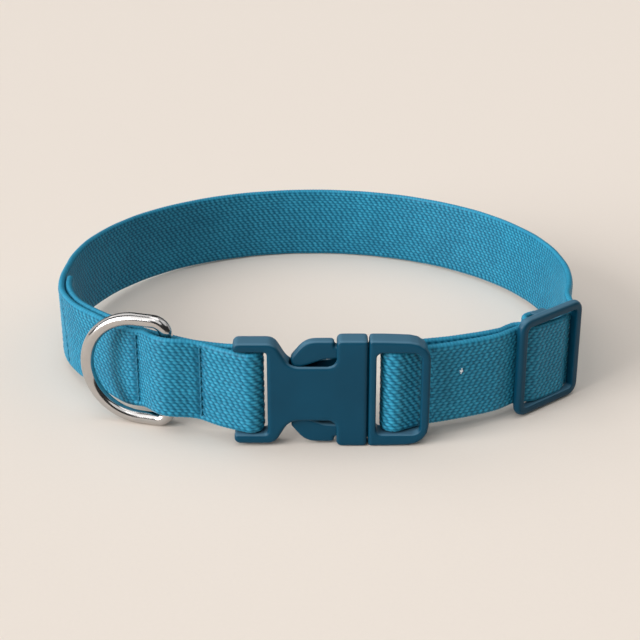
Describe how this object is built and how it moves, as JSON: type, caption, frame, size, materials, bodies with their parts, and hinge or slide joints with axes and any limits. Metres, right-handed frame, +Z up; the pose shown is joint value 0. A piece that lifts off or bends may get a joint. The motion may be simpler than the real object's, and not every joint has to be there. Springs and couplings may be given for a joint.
{
  "type": "dog collar",
  "caption": "Adjustable webbing dog collar closed in a loop, with a side release buckle, a three-bar slide and a swinging D-shaped lead ring.",
  "frame": {"origin": "middle of the footprint, on the surface that the collar stands on", "axes": "+Z up across the webbing's width, -Y towards the buckle's outer face, +X to the right seen from the buckle's side"},
  "size_m": [0.1614, 0.1462, 0.0351],
  "materials": {
    "webbing": "woven blue polyester webbing",
    "plastic": "satin dark blue moulded acetal",
    "steel": "polished nickel-plated steel wire"
  },
  "bodies": {
    "collar": {"strap": "webbing", "buckle_socket": "plastic", "buckle_plug": "plastic", "slider": "plastic"},
    "ring": {"lead_ring": "steel"}
  },
  "joints": [
    {"name": "ring_swing", "type": "hinge", "parent": "collar", "child": "ring", "pos_m": [-0.04207, -0.06105, 0.01755], "axis": [0, 0, 1], "range_deg": [0, 150]}
  ]
}
